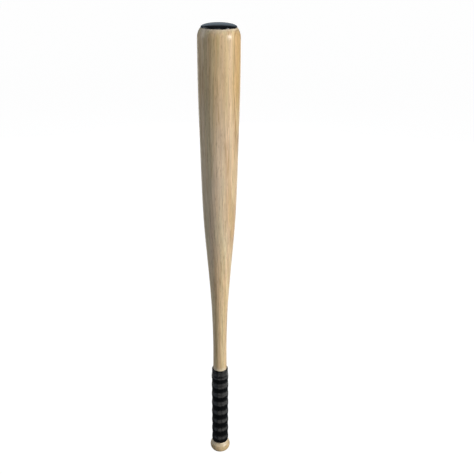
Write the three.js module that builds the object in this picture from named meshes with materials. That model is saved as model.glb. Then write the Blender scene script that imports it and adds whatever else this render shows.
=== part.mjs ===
// Baseball bat: a turned wooden billet, a pressed-in end cap, and a ribbed rubber grip
// sleeve over adhesive tape.
// Millimetres, +Z up. The bat stands on its knob, and the origin is the centre of the
// knob's flat base. Every piece is turned about the Z axis.
import * as THREE from 'three';

// Driving dimensions
const BAT_LENGTH = 787.4; // 31 inches, knob base to cap apex
const SEGMENTS = 40; // facets round the axis
const GAP = 0.3; // clearance between pieces that touch

// Knob, at the bottom
const BASE_RADIUS = 13; // flat face that the bat stands on
const KNOB_RADIUS = 18.4; // widest place of the knob
const KNOB_WIDEST_Z = 9.5;
const HANDLE_START_Z = 24; // where the knob's flare has become the handle

// Handle and barrel: radius of the turned outline at even steps above the handle
const HANDLE_RADIUS = 12.15;
const TAPER_START_Z = 190;
const TAPER_STEP = 40;
const TAPER_RADII = [
  HANDLE_RADIUS, 11.95, 12.6, 13.95, 16.4, 19.45, 22.75, 25.75,
  27.65, 28.95, 29.95, 30.95, 31.8, 32.3, 32.35,
];

// Barrel end: part of an ellipse as shoulder, a flat rim and a blind seat for the cap's plug
const SHOULDER_START_Z = 765;
const SHOULDER_WIDTH = 12.2; // half width of the shoulder's ellipse
const RIM_RADIUS = 27.1;
const RIM_Z = 780.7;
const SEAT_RADIUS = 15;
const SEAT_DEPTH = 26;

// End cap
const CAP_RADIUS = 26.9;
const CAP_WALL = 3;
const CAP_EDGE = 0.5; // chamfer under the cap's edge
const PLUG_RADIUS = 14.1;
const PLUG_BORE_RADIUS = 11.5;
const PLUG_LENGTH = 22;
const BARB_COUNT = 3;
const BARB_HEIGHT = 0.6; // how far a barb stands out of the plug
const BARB_PITCH = 6;

// Grip: tape on the handle, and over it a ribbed sleeve whose ends close on the wood
const TAPE_THICKNESS = 0.5;
const TAPE_BOTTOM_Z = 24;
const TAPE_TOP_Z = 172;
const SLEEVE_TOP_Z = 184.6;
const BOTTOM_BORE = 12.9; // radius, clear of the knob's flare
const RIB_COUNT = 8;
const RIB_PITCH = 19.94;
const FIRST_RIB_Z = 27.8; // crest of the lowest rib
const SLEEVE_BOTTOM_Z = FIRST_RIB_Z - RIB_PITCH / 3;
const RIB_CREST_RADIUS = 15.4;
const RIB_VALLEY_RADIUS = 14.65;
const RIB_STEPS = 6; // outline points per rib
const COLLAR_RADIUS = 14.5; // plain collar above the top rib
const COLLAR_ROUNDING = 1.6; // height of the collar's rounded top edge

const point = (radius, z) => new THREE.Vector2(radius, z);

// Turns an outline, drawn as radius against height with the material on its left.
function turned(name, outline, material) {
  const geometry = new THREE.LatheGeometry(outline, SEGMENTS);
  geometry.rotateX(Math.PI / 2);
  const mesh = new THREE.Mesh(geometry, material);
  mesh.name = name;
  return mesh;
}

// Points of a quarter ellipse about (radius, z), from angle to angle in quarter turns.
function quarterArc(radius, z, width, height, from, to, steps) {
  const start = from * Math.PI / 2;
  const end = to * Math.PI / 2;
  const arc = new THREE.EllipseCurve(radius, z, width, height, start, end, end < start);
  return arc.getPoints(steps);
}

// Points of the ribs' cosine wave between two heights, down to the given valley radius.
function wave(fromZ, toZ, valleyRadius) {
  const steps = Math.round(RIB_STEPS * (toZ - fromZ) / RIB_PITCH);
  const points = [];
  for (let i = 0; i <= steps; i += 1) {
    const z = THREE.MathUtils.lerp(fromZ, toZ, i / steps);
    const height = (1 + Math.cos(2 * Math.PI * (z - FIRST_RIB_Z) / RIB_PITCH)) / 2;
    points.push(point(THREE.MathUtils.lerp(valleyRadius, RIB_CREST_RADIUS, height), z));
  }
  return points;
}

const wood = new THREE.MeshStandardMaterial({ color: 0xc9ae84, roughness: 0.4, metalness: 0 });
const capPlastic = new THREE.MeshStandardMaterial({ color: 0x14161a, roughness: 0.15, metalness: 0 });
const rubber = new THREE.MeshStandardMaterial({ color: 0x17181a, roughness: 0.7, metalness: 0 });
const tapeFilm = new THREE.MeshStandardMaterial({ color: 0xd8d4c8, roughness: 0.6, metalness: 0 });

// One-piece billet: knob, handle and barrel, with a blind seat bored in the barrel end.
function batBody() {
  const knobLower = quarterArc(
    BASE_RADIUS, KNOB_WIDEST_Z, KNOB_RADIUS - BASE_RADIUS, KNOB_WIDEST_Z, 3, 4, 6);
  const flareHeight = HANDLE_START_Z - KNOB_WIDEST_Z;
  const knobFlare = new THREE.CubicBezierCurve(
    point(KNOB_RADIUS, KNOB_WIDEST_Z),
    point(KNOB_RADIUS, KNOB_WIDEST_Z + 0.5 * flareHeight),
    point(HANDLE_RADIUS, HANDLE_START_Z - 0.6 * flareHeight),
    point(HANDLE_RADIUS, HANDLE_START_Z)).getPoints(8);
  const stations = TAPER_RADII.map(
    (radius, i) => point(radius, TAPER_START_Z + i * TAPER_STEP));
  const taper = new THREE.SplineCurve(stations).getPoints(2 * (stations.length - 1));
  const lastRadius = TAPER_RADII[TAPER_RADII.length - 1];
  const shoulderAxis = lastRadius - SHOULDER_WIDTH;
  const rimAngle = Math.acos((RIM_RADIUS - shoulderAxis) / SHOULDER_WIDTH);
  const shoulder = quarterArc(
    shoulderAxis, SHOULDER_START_Z, SHOULDER_WIDTH, (RIM_Z - SHOULDER_START_Z) / Math.sin(rimAngle),
    0, 2 * rimAngle / Math.PI, 6);
  const outline = [
    point(0, 0),
    ...knobLower,
    ...knobFlare.slice(1),
    ...taper,
    ...shoulder,
    point(SEAT_RADIUS, RIM_Z),
    point(SEAT_RADIUS, RIM_Z - SEAT_DEPTH),
    point(0, RIM_Z - SEAT_DEPTH),
  ];
  return turned('bat_body', outline, wood);
}

// Domed cap with a hollow plug, whose barbs hold it in the seat.
function endCap() {
  const underside = RIM_Z + GAP;
  const edgeZ = underside + CAP_EDGE;
  const plugEnd = underside - PLUG_LENGTH;
  const outline = [
    point(0, BAT_LENGTH - CAP_WALL),
    point(PLUG_BORE_RADIUS, BAT_LENGTH - CAP_WALL),
    point(PLUG_BORE_RADIUS, plugEnd),
    point(PLUG_RADIUS, plugEnd),
  ];
  for (let i = 0; i < BARB_COUNT; i += 1) {
    const barbZ = plugEnd + 2 + i * BARB_PITCH;
    outline.push(point(PLUG_RADIUS, barbZ));
    outline.push(point(PLUG_RADIUS + BARB_HEIGHT, barbZ + 2));
    outline.push(point(PLUG_RADIUS, barbZ + 2.2));
  }
  outline.push(point(PLUG_RADIUS, underside));
  outline.push(point(CAP_RADIUS - CAP_EDGE, underside));
  outline.push(...quarterArc(0, edgeZ, CAP_RADIUS, BAT_LENGTH - edgeZ, 0, 1, 10));
  return turned('end_cap', outline, capPlastic);
}

// Double-sided tape that holds the sleeve on the handle.
function gripTape() {
  const inner = HANDLE_RADIUS + GAP;
  const outer = inner + TAPE_THICKNESS;
  const outline = [
    point(inner, TAPE_BOTTOM_Z),
    point(outer, TAPE_BOTTOM_Z),
    point(outer, TAPE_TOP_Z),
    point(inner, TAPE_TOP_Z),
    point(inner, TAPE_BOTTOM_Z),
  ];
  return turned('grip_tape', outline, tapeFilm);
}

// Rubber sleeve: evenly spaced rings, a collar at the top, and a bore recessed for the tape.
function gripSleeve() {
  const collarBore = HANDLE_RADIUS + GAP;
  const recess = HANDLE_RADIUS + TAPE_THICKNESS + 2 * GAP;
  const recessBottom = TAPE_BOTTOM_Z - GAP;
  const recessTop = TAPE_TOP_Z + GAP;
  const lastCrestZ = FIRST_RIB_Z + (RIB_COUNT - 1) * RIB_PITCH;
  const ribs = wave(SLEEVE_BOTTOM_Z, lastCrestZ, RIB_VALLEY_RADIUS);
  const lastFlank = wave(lastCrestZ, lastCrestZ + RIB_PITCH / 2, COLLAR_RADIUS);
  const roundedEdge = quarterArc(
    collarBore, SLEEVE_TOP_Z - COLLAR_ROUNDING, COLLAR_RADIUS - collarBore, COLLAR_ROUNDING, 0, 1, 4);
  const outline = [
    point(BOTTOM_BORE, SLEEVE_BOTTOM_Z),
    ...ribs,
    ...lastFlank.slice(1),
    ...roundedEdge,
    point(collarBore, recessTop),
    point(recess, recessTop),
    point(recess, recessBottom),
    point(BOTTOM_BORE, recessBottom),
    point(BOTTOM_BORE, SLEEVE_BOTTOM_Z),
  ];
  return turned('grip_sleeve', outline, rubber);
}

const bat = new THREE.Group();
bat.add(batBody(), endCap(), gripTape(), gripSleeve());

export default bat;
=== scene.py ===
"""Looks of a wooden baseball bat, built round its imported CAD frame. Metres, +Z up.

Each piece is turned again from its CAD node's own outline, with finer curves and rounded
corners, and gets a procedural material.
"""

import math

import bpy
import numpy
from mathutils import Euler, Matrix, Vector


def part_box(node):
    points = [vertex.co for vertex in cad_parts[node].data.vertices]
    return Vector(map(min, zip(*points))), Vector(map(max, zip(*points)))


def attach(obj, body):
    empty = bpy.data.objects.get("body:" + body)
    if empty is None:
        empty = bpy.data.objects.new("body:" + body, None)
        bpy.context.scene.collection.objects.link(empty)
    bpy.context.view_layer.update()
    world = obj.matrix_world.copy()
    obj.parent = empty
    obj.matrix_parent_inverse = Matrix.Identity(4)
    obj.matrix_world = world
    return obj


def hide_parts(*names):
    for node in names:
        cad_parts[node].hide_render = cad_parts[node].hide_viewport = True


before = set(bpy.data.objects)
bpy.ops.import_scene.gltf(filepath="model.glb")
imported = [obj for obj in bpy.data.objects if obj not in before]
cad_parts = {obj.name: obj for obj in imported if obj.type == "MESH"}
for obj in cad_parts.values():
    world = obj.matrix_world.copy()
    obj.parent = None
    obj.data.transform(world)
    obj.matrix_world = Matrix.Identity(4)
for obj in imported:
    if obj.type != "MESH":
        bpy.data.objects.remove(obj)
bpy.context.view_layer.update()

MM = 0.001

# Camera: its place against the foot of the bat, and its aim in degrees
CAMERA_DISTANCE = 1.0
CAMERA_HEIGHT = 0.8954
CAMERA_PITCH = 24.2
CAMERA_YAW = 1.665
CAMERA_ROLL = 0.5
CAMERA_LENS = 50.0
CAMERA_SENSOR = 36.0

# Turned meshes
SEGMENTS = 160  # faces round the axis
CURVE_STEPS = 4  # fine steps between two points of a CAD outline
CORNER_ANGLE = math.radians(40)  # a sharper turn than this is a corner
CORNER_STEPS = 3

# Studio
STUDIO_RADIUS = 5.0
STUDIO_BEND = 1.5  # radius of the sweep from floor to wall
STUDIO_HEIGHT = 5.0
SWEEP_STEPS = 12
WARM = (1.0, 0.98, 0.95)
COOL = (0.9, 0.98, 1.1)
SKY = (0.78, 0.97, 1.15)
AIR_STRENGTH = 0.06

# Lights. Azimuth is to the right of the camera, in degrees, and the radiance is that of the
# panel's face. The low panels make a ring that the grip mirrors from every side.
LIGHTS = (
    # name, azimuth, elevation, distance, width, height, radiance, colour, height of its aim
    ("key", 59, 20, 2.2, 0.6, 0.6, 32, WARM, 0.45),
    ("left", -100, 22, 2.2, 1.6, 1.4, 1.3, COOL, 0.45),
    ("front", -12, 48, 2.2, 1.4, 0.8, 1.9, COOL, 0.45),
    ("low_barrel", 50, -19, 2.0, 0.6, 0.9, 1.2, WARM, 0.55),
    ("back", 180, 19, 2.5, 1.8, 1.2, 0.38, SKY, 0.78),
    ("back_left", -165, -15, 2.4, 1.6, 1.4, 1.5, WARM, 0.45),
    ("back_right", 165, -15, 2.4, 1.6, 1.4, 1.5, WARM, 0.45),
    ("low_left", -65, -29, 2.0, 2.0, 0.3, 1.0, COOL, 0.1),
    ("low_front", -5, -29, 2.0, 1.6, 0.3, 2.4, WARM, 0.1),
    ("low_right", 50, -29, 2.0, 1.6, 0.3, 3.0, WARM, 0.1),
    ("low_side", 101, -30, 2.0, 1.9, 0.3, 1.6, WARM, 0.1),
    ("low_back_right", 158, -29, 2.0, 2.2, 0.3, 1.0, WARM, 0.1),
    ("low_back_left", -132, -29, 2.0, 2.4, 0.3, 0.6, WARM, 0.1),
)

# Wood, in millimetres. The pith is the middle of the tree, and is outside the bat.
PITH = (-120.0, 58.0)
RING_WIDTH = 4.6
RING_BEND = 18.0  # how far the rings wander along the bat
RING_WOBBLE = 1.6  # and how far they wander across it
CREAM = (0.94, 0.79, 0.57)
TAN = (0.77, 0.575, 0.335)
LATE_BROWN = (0.33, 0.17, 0.065)
GREYED = (0.66, 0.57, 0.46)
STREAK_BROWN = (0.5, 0.3, 0.12)
LEAF_TINT = (0.985, 1.01, 0.96)
ROSE_TINT = (1.03, 0.985, 0.99)
END_TINT = (0.95, 0.88, 0.71)
# yellow-brown on the barrel's side away from the pith: partly a brown streak in the wood, partly
# painted shade
STREAK_AND_SHADE_TINT = (0.92, 0.83, 0.68)
# pale wood colour painted in as highlights on the knob's top, above the sleeve and under the rim
PAINTED_HIGHLIGHT_PALE = (0.93, 0.8, 0.6)

RIB_DEPTH = 0.75  # millimetres from the grip's crests down to its valleys
ON_AXIS = 1e-6  # a point nearer the axis than this is on it


# --- Outlines and turned meshes -------------------------------------------------------

def node_outline(name):
    """The ordered (radius, z) points of a CAD node's section, material on the left."""
    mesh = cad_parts[name].data
    near = {}
    for vertex in mesh.vertices:
        if abs(vertex.co.y) < ON_AXIS and vertex.co.x > -ON_AXIS:
            near[vertex.index] = (round(vertex.co.x, 7), round(vertex.co.z, 7))
    links = {}
    for edge in mesh.edges:
        a, b = (near.get(i) for i in edge.vertices)
        if a and b and a != b:
            links.setdefault(a, set()).add(b)
            links.setdefault(b, set()).add(a)
    ends = sorted(p for p in links if len(links[p]) == 1)
    walk = [ends[0] if ends else min(links, key=lambda p: (p[1], p[0]))]
    nexts = sorted(links[walk[0]], key=lambda p: (p[1], -p[0]))
    while nexts:
        walk.append(nexts[0])
        nexts = [p for p in sorted(links[walk[-1]]) if p not in walk]
    closed = not ends
    return oriented([Vector(p) for p in walk], closed), closed


def oriented(points, closed):
    """The same points, turned so that the solid lies on the left of the way along them."""
    loop = points + [points[0]]
    area = sum(a.x * b.y - b.x * a.y for a, b in zip(loop, loop[1:]))
    return points if area > 0 else points[::-1]


def turn_at(before, here, after):
    return abs((here - before).angle_signed(after - here, 0.0))


def rounded_corner(before, here, after, radius):
    """A short curve in place of the corner at here."""
    start = here + (before - here).normalized() * min(radius, 0.45 * (before - here).length)
    end = here + (after - here).normalized() * min(radius, 0.45 * (after - here).length)
    curve = []
    for i in range(CORNER_STEPS + 1):
        t = i / CORNER_STEPS
        curve.append(start * (1 - t) ** 2 + here * 2 * t * (1 - t) + end * t ** 2)
    return curve


def softened(points, closed, radius):
    """The outline with each of its corners rounded."""
    soft = []
    for i, here in enumerate(points):
        before, after = points[i - 1], points[(i + 1) % len(points)]
        inner = closed or 0 < i < len(points) - 1
        if inner and turn_at(before, here, after) > CORNER_ANGLE:
            soft.extend(rounded_corner(before, here, after, radius))
        else:
            soft.append(here)
    return soft


def is_break(before, here, after):
    """Whether the outline turns sharply here, or goes between long and short steps."""
    short, long = sorted([(here - before).length, (after - here).length])
    return turn_at(before, here, after) > CORNER_ANGLE or long > 3 * short


def spline(points):
    """Fine points after the first, on the natural cubic spline through all the points."""
    if len(points) == 2:
        return points[1:]
    p = numpy.array(points)
    h = numpy.linalg.norm(numpy.diff(p, axis=0), axis=1)
    system, turns = numpy.eye(len(p)), numpy.zeros(p.shape)
    for i in range(1, len(p) - 1):
        system[i, i - 1:i + 2] = h[i - 1], 2 * (h[i - 1] + h[i]), h[i]
        turns[i] = 6 * ((p[i + 1] - p[i]) / h[i] - (p[i] - p[i - 1]) / h[i - 1])
    bend = numpy.linalg.solve(system, turns)
    fine = []
    for i in range(len(p) - 1):
        for t in numpy.linspace(0, 1, CURVE_STEPS + 1)[1:]:
            pull = (1 - t) ** 3 - (1 - t), t ** 3 - t
            sag = h[i] ** 2 / 6 * (pull[0] * bend[i] + pull[1] * bend[i + 1])
            fine.append(Vector((1 - t) * p[i] + t * p[i + 1] + sag))
    return fine


def fine_outline(points, closed, radius):
    """The outline with rounded corners and smooth curves, no wider than it was."""
    soft = softened(points, closed, radius)
    soft += soft[:1] if closed else []
    fine, stretch = soft[:1], soft[:1]
    for i in range(1, len(soft)):
        stretch.append(soft[i])
        if i == len(soft) - 1 or is_break(*soft[i - 1:i + 2]):
            fine.extend(spline(stretch))
            stretch = [soft[i]]
    widest = max(p.x for p in points)
    fine = [Vector((min(p.x, widest), p.y)) for p in fine]
    return fine[:-1] if closed else fine


def turned_mesh(name, outline, closed):
    """A solid of revolution about Z, with one vertex where the outline meets the axis."""
    vertices, rings = [], []
    for point in outline:
        start = len(vertices)
        if point.x < ON_AXIS:
            vertices.append((0, 0, point.y))
            rings.append([start] * SEGMENTS)
            continue
        for i in range(SEGMENTS):
            angle = 2 * math.pi * i / SEGMENTS
            vertices.append((point.x * math.cos(angle), point.x * math.sin(angle), point.y))
        rings.append(list(range(start, start + SEGMENTS)))
    if closed:
        rings.append(rings[0])
    faces = []
    for low, high in zip(rings, rings[1:]):
        for i in range(SEGMENTS):
            j = (i + 1) % SEGMENTS
            corners = dict.fromkeys((low[i], low[j], high[j], high[i]))
            faces.append(tuple(corners))
    mesh = bpy.data.meshes.new(name)
    mesh.from_pydata(vertices, [], faces)
    mesh.shade_smooth()
    piece = bpy.data.objects.new(name, mesh)
    bpy.context.scene.collection.objects.link(piece)
    return piece


def turned_piece(name, node, corner_radius, material):
    """A fine copy of a turned CAD node, which it stands for."""
    outline, closed = node_outline(node)
    piece = turned_mesh(name, fine_outline(outline, closed, corner_radius), closed)
    piece.data.materials.append(material)
    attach(piece, "root")
    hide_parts(node)
    return piece


# --- Materials --------------------------------------------------------------------------

class Shader:
    """A material's node tree, with a short call for each kind of node."""

    def __init__(self, name):
        self.material = bpy.data.materials.new(name)
        self.material.use_nodes = True
        self.tree = self.material.node_tree
        self.surface = self.tree.nodes["Principled BSDF"]

    def node(self, kind, inputs=None, **settings):
        made = self.tree.nodes.new(kind)
        for key, value in settings.items():
            setattr(made, key, value)
        for key, value in (inputs or {}).items():
            self.feed(made.inputs[key], value)
        return made

    def feed(self, socket, value):
        if isinstance(value, bpy.types.NodeSocket):
            self.tree.links.new(value, socket)
        else:
            socket.default_value = value

    def math(self, operation, a, b=0.0, c=0.0):
        return self.node("ShaderNodeMath", {0: a, 1: b, 2: c}, operation=operation).outputs[0]

    def length(self, x, y):
        squared = self.math("ADD", self.math("POWER", x, 2.0), self.math("POWER", y, 2.0))
        return self.math("SQRT", squared)

    def place(self, scale=(1, 1, 1), shift=(0, 0, 0)):
        """The point on the bat in millimetres, stretched by scale."""
        coordinates = self.node("ShaderNodeTexCoord").outputs["Object"]
        factors = [s / MM for s in scale]
        mapped = self.node("ShaderNodeMapping", {"Vector": coordinates})
        mapped.inputs["Scale"].default_value = factors
        mapped.inputs["Location"].default_value = shift
        return mapped.outputs[0]

    def noise(self, place, detail=2.0, roughness=0.5, distortion=0.0):
        inputs = {"Vector": place, "Scale": 1.0, "Detail": detail,
                  "Roughness": roughness, "Distortion": distortion}
        return self.node("ShaderNodeTexNoise", inputs).outputs["Fac"]

    def remap(self, value, low, high, to_low=0.0, to_high=1.0):
        inputs = {"Value": value, "From Min": low, "From Max": high,
                  "To Min": to_low, "To Max": to_high}
        return self.node("ShaderNodeMapRange", inputs).outputs[0]

    def mix(self, amount, a, b, blend="MIX"):
        made = self.node("ShaderNodeMix", data_type="RGBA", blend_type=blend)
        self.feed(made.inputs[0], amount)
        self.feed(made.inputs[6], a if isinstance(a, bpy.types.NodeSocket) else (*a, 1))
        self.feed(made.inputs[7], b if isinstance(b, bpy.types.NodeSocket) else (*b, 1))
        return made.outputs[2]

    def shade(self, colour, grey):
        """The colour multiplied by a grey factor."""
        factor = self.node("ShaderNodeCombineColor", {0: grey, 1: grey, 2: grey})
        return self.mix(1.0, colour, factor.outputs[0], "MULTIPLY")

    def ramp(self, value, stops):
        """Grey stops of a colour ramp, as (position, grey)."""
        made = self.node("ShaderNodeValToRGB", {0: value})
        elements = made.color_ramp.elements
        while len(elements) < len(stops):
            elements.new(0.5)
        for element, (position, grey) in zip(elements, stops):
            element.position = position
            element.color = (grey, grey, grey, 1)
        return made.outputs[0]

    def bump(self, height, strength, depth_mm):
        inputs = {"Height": height, "Strength": strength, "Distance": depth_mm * MM}
        return self.node("ShaderNodeBump", inputs).outputs[0]

    def set(self, **values):
        for key, value in values.items():
            self.feed(self.surface.inputs[key.replace("_", " ")], value)


def pith_distance(shader, point):
    """Distance from the pith, bent slowly along the grain and unevenly across it."""
    across_x = shader.math("SUBTRACT", point.outputs[0], PITH[0])
    across_y = shader.math("SUBTRACT", point.outputs[1], PITH[1])
    distance = shader.length(across_x, across_y)
    bend = shader.noise(shader.place((0.016, 0.016, 0.0035)), detail=2.0)
    distance = shader.math("MULTIPLY_ADD", bend, RING_BEND, distance)
    wobble = shader.noise(shader.place((0.25, 0.25, 0.012)), detail=2.0)
    return shader.math("MULTIPLY_ADD", wobble, RING_WOBBLE, distance)


def late_wood(shader, distance):
    """How far a place is into the dark late wood of its ring.

    Each ring darkens slowly and ends in a line, and no two are alike. The fibres dip in and
    out of the turned surface, which breaks the lines into dashes.
    """
    ring = shader.math("DIVIDE", distance, RING_WIDTH)
    late = shader.ramp(shader.math("FRACT", ring), [
        (0.0, 0.9), (0.08, 0.0), (0.5, 0.12), (0.78, 0.45), (0.94, 1.0)])
    own = shader.node("ShaderNodeTexWhiteNoise", {"W": shader.math("FLOOR", ring)},
                      noise_dimensions="1D").outputs["Value"]
    late = shader.math("MULTIPLY", late, shader.remap(own, 0.2, 1.0, 0.15, 1.0))
    dashes = shader.noise(shader.place((0.3, 0.3, 0.04), (4, 8, 6)), detail=2.0)
    return shader.math("MULTIPLY", late, shader.remap(dashes, 0.35, 0.6, 0.4, 1.0))


def ring_colour(shader, distance, along):
    """Broad bands of several rings, their late wood, and slow changes of grey and hue."""
    band_place = shader.node("ShaderNodeCombineXYZ", {
        0: shader.math("MULTIPLY", distance, 0.16),
        1: shader.math("MULTIPLY", along, 0.0016)})
    band = shader.noise(band_place.outputs[0], detail=3.0, roughness=0.6)
    colour = shader.mix(shader.remap(band, 0.35, 0.65), CREAM, TAN)
    late = shader.math("MULTIPLY", late_wood(shader, distance), 0.68)
    colour = shader.mix(late, colour, LATE_BROWN)
    cloud = shader.noise(shader.place((0.022, 0.022, 0.007), (3, 9, 2)), detail=3.0)
    colour = shader.mix(shader.remap(cloud, 0.4, 0.7, 0.0, 0.4), colour, GREYED)
    hue = shader.noise(shader.place((0.13, 0.13, 0.004), (6, 2, 4)), detail=2.0)
    tone = shader.mix(shader.remap(hue, 0.38, 0.62), LEAF_TINT, ROSE_TINT)
    return shader.mix(1.0, colour, tone, "MULTIPLY")


def fibre_colour(shader, colour, fibre, pore_mark):
    """The colour with fibres, pores and mineral streaks along the grain."""
    colour = shader.shade(colour, shader.remap(fibre, 0.3, 0.7, 0.78, 1.15))
    colour = shader.mix(shader.math("MULTIPLY", pore_mark, 0.33), colour, LATE_BROWN)
    mineral = shader.noise(shader.place((0.24, 0.24, 0.012), (2, 6, 8)), detail=2.0)
    return shader.mix(shader.remap(mineral, 0.6, 0.72, 0.0, 0.6), colour, STREAK_BROWN)


def tinted_colour(shader, colour, distance, height):
    """The colour, yellower towards both ends of the bat, and yellower and darker far from the
    pith, partly a brown streak and partly painted shade on that side of the barrel.
    """
    ends = shader.ramp(height, [
        (0.25, 1.0), (0.45, 0.75), (0.58, 0.35), (0.7, 0.0), (0.8, 0.1), (0.9, 0.8)])
    colour = shader.mix(ends, colour, END_TINT, "MULTIPLY")
    # painted shade, with a real brown streak: the barrel's side away from the pith goes darker
    # and yellower
    streak_and_shade = shader.remap(distance, 160.0, 174.0, 0.0, 0.8)
    return shader.mix(streak_and_shade, colour, STREAK_AND_SHADE_TINT, "MULTIPLY")


def painted_highlight_colour(shader, colour, height, fibre, rim_z):
    """The colour, with pale bands painted in as highlights round the knob's top, just above the
    sleeve and under the rim.
    """
    sleeve_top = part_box("grip_sleeve")[1].z / MM
    # painted highlights: pale bands where the knob's top, the wood above the sleeve and the
    # rounding under the cap catch the light
    highlight_bands = shader.ramp(height, [
        (0.017, 0.0), (0.021, 0.6), (0.04, 0.6), (0.06, 0.0),
        ((sleeve_top - 2) / rim_z, 0.8), ((sleeve_top + 3) / rim_z, 0.8),
        ((sleeve_top + 6) / rim_z, 0.0), (1 - 3.4 / rim_z, 0.0), (1 - 1.6 / rim_z, 1.0)])
    highlight_amount = shader.math("MULTIPLY", highlight_bands, shader.remap(fibre, 0.3, 0.6, 0.6, 0.95))
    return shader.mix(highlight_amount, colour, PAINTED_HIGHLIGHT_PALE)


def wood_material():
    """Pale straight-grained hardwood under a clear satin lacquer."""
    shader = Shader("lacquered_wood")
    rim_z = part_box("bat_body")[1].z / MM
    point = shader.node("ShaderNodeSeparateXYZ", {0: shader.place()})
    height = shader.math("DIVIDE", point.outputs[2], rim_z)
    distance = pith_distance(shader, point)
    fibre = shader.noise(shader.place((0.42, 0.42, 0.024)), detail=5.0, roughness=0.72)
    pores = shader.noise(shader.place((0.7, 0.7, 0.1), (7, 3, 1)), detail=3.0)
    pore_mark = shader.remap(pores, 0.56, 0.68)

    colour = ring_colour(shader, distance, point.outputs[2])
    colour = fibre_colour(shader, colour, fibre, pore_mark)
    colour = tinted_colour(shader, colour, distance, height)
    # pale painted highlight bands at the knob, the sleeve's top and the rim
    colour = painted_highlight_colour(shader, colour, height, fibre, rim_z)

    relief = shader.math("MULTIPLY_ADD", pore_mark, -0.5, fibre)
    shader.set(Base_Color=colour, Roughness=shader.remap(fibre, 0.3, 0.7, 0.42, 0.56),
               Normal=shader.bump(relief, 0.12, 0.08), Coat_Weight=0.5, Coat_Roughness=0.31)
    return shader.material


def rubber_material():
    """Black moulded rubber: polished a little on the crests, dusty in the valleys."""
    shader = Shader("grip_rubber")
    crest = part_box("grip_sleeve")[1].x / MM
    point = shader.node("ShaderNodeSeparateXYZ", {0: shader.place()})
    radius = shader.length(point.outputs[0], point.outputs[1])
    raised = shader.remap(radius, crest - RIB_DEPTH, crest)
    grain = shader.noise(shader.place((2.2, 2.2, 2.2)), detail=4.0, roughness=0.7)
    smudge = shader.noise(shader.place((0.08, 0.08, 0.05)), detail=4.0)
    dust = shader.math("MULTIPLY", shader.remap(raised, 1.0, 0.0), shader.remap(smudge, 0.4, 0.7))
    colour = shader.mix(shader.math("MULTIPLY", dust, 0.3), (0.002, 0.0022, 0.0028),
                        (0.009, 0.009, 0.0095))
    rough = shader.math("MULTIPLY_ADD", raised, -0.03, 0.2)
    rough = shader.math("MULTIPLY_ADD", smudge, 0.08, rough)
    shader.set(Base_Color=colour, Roughness=rough, Normal=shader.bump(grain, 0.03, 0.1),
               Specular_IOR_Level=0.3)
    return shader.material


def cap_material():
    """Glossy black moulding, with faint orange peel and hairline scratches."""
    shader = Shader("cap_gloss_black")
    peel = shader.noise(shader.place((0.3, 0.3, 0.3)), detail=2.0)
    scratch = shader.noise(shader.place((0.1, 2.6, 0.3)), detail=3.0, distortion=0.8)
    scratch_mark = shader.remap(scratch, 0.64, 0.72)
    haze = shader.noise(shader.place((0.05, 0.05, 0.05), (5, 1, 8)), detail=4.0)
    rough = shader.remap(haze, 0.3, 0.7, 0.1, 0.18)
    rough = shader.math("MULTIPLY_ADD", scratch_mark, 0.08, rough)
    colour = shader.mix(scratch_mark, (0.004, 0.0055, 0.0075), (0.009, 0.011, 0.014))
    shader.set(Base_Color=colour, Roughness=rough, Normal=shader.bump(peel, 0.05, 0.1))
    return shader.material


def tape_material():
    """Off-white adhesive film with fine crossed threads."""
    shader = Shader("tape_film")
    threads = shader.noise(shader.place((1.5, 1.5, 0.1)), detail=2.0)
    creases = shader.noise(shader.place((0.2, 0.2, 1.2), (2, 2, 2)), detail=3.0)
    colour = shader.mix(shader.remap(threads, 0.35, 0.65), (0.62, 0.58, 0.5), (0.72, 0.69, 0.62))
    shader.set(Base_Color=colour, Roughness=shader.remap(creases, 0.3, 0.7, 0.5, 0.7),
               Normal=shader.bump(threads, 0.3, 0.05))
    return shader.material


def studio_material():
    """Near-white paper, lit a little by itself so that shadows on it stay faint."""
    shader = Shader("studio_white")
    shader.set(Base_Color=(0.12, 0.12, 0.12, 1), Roughness=0.9,
               Emission_Color=(1, 1, 1, 1), Emission_Strength=0.97)
    return shader.material


# --- Studio -------------------------------------------------------------------------------

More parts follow.
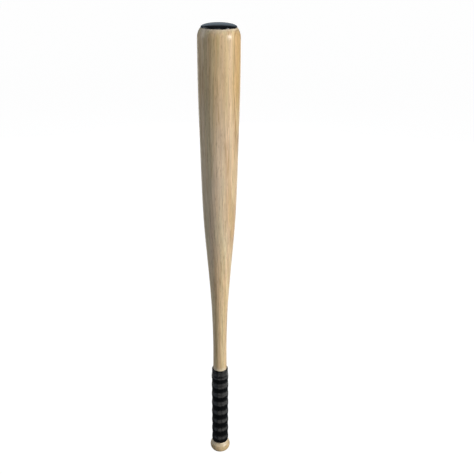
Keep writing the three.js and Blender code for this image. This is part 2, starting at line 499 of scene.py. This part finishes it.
def make_studio():
    """Floor, sweep and wall in one sheet. Only the camera sees it, so it throws no light."""
    outline = [Vector((0, 0)), Vector((STUDIO_RADIUS - STUDIO_BEND, 0))]
    for i in range(1, SWEEP_STEPS + 1):
        angle = math.pi / 2 * i / SWEEP_STEPS
        outline.append(Vector((STUDIO_RADIUS - STUDIO_BEND * (1 - math.sin(angle)),
                               STUDIO_BEND * (1 - math.cos(angle)))))
    outline.append(Vector((STUDIO_RADIUS, STUDIO_HEIGHT)))
    outline.append(Vector((0, STUDIO_HEIGHT + 1)))
    studio = turned_mesh("studio", outline, False)
    studio.data.flip_normals()
    studio.data.materials.append(studio_material())
    studio.visible_diffuse = False
    studio.visible_glossy = False
    studio.visible_shadow = False


def softbox(name, azimuth, elevation, distance, width, height, radiance, colour, aim_z):
    """An area light aimed at the bat's axis."""
    a, e = math.radians(azimuth), math.radians(elevation)
    away = Vector((math.sin(a) * math.cos(e), -math.cos(a) * math.cos(e), math.sin(e)))
    light = bpy.data.lights.new(name, "AREA")
    light.shape = "RECTANGLE"
    light.size = width
    light.size_y = height
    light.energy = radiance * math.pi * width * height
    light.color = colour
    holder = bpy.data.objects.new(name, light)
    holder.location = Vector((0, 0, aim_z)) + away * distance
    holder.rotation_euler = away.to_track_quat("Z", "Y").to_euler()
    holder.visible_camera = False
    bpy.context.scene.collection.objects.link(holder)


def make_lights():
    """The soft boxes, and a little light from all round."""
    for light in LIGHTS:
        softbox(*light)
    world = bpy.data.worlds.new("studio_air")
    world.use_nodes = True
    background = world.node_tree.nodes["Background"]
    background.inputs["Color"].default_value = (*COOL, 1)
    background.inputs["Strength"].default_value = AIR_STRENGTH
    bpy.context.scene.world = world


def make_camera():
    data = bpy.data.cameras.new("camera")
    data.lens = CAMERA_LENS
    data.sensor_width = CAMERA_SENSOR
    camera = bpy.data.objects.new("camera", data)
    camera.location = (0, -CAMERA_DISTANCE, CAMERA_HEIGHT)
    tilt = Euler((math.radians(90 - CAMERA_PITCH), 0, math.radians(-CAMERA_YAW)), "XYZ")
    roll = Euler((0, 0, math.radians(CAMERA_ROLL)), "XYZ")
    camera.rotation_euler = (tilt.to_matrix() @ roll.to_matrix()).to_euler()
    bpy.context.scene.collection.objects.link(camera)
    bpy.context.scene.camera = camera
    bpy.context.scene.view_settings.view_transform = "Standard"


make_camera()
make_lights()
make_studio()

turned_piece("billet", "bat_body", 0.5 * MM, wood_material())
turned_piece("cap", "end_cap", 0.3 * MM, cap_material())
turned_piece("sleeve", "grip_sleeve", 0.6 * MM, rubber_material())
turned_piece("tape", "grip_tape", 0.1 * MM, tape_material())
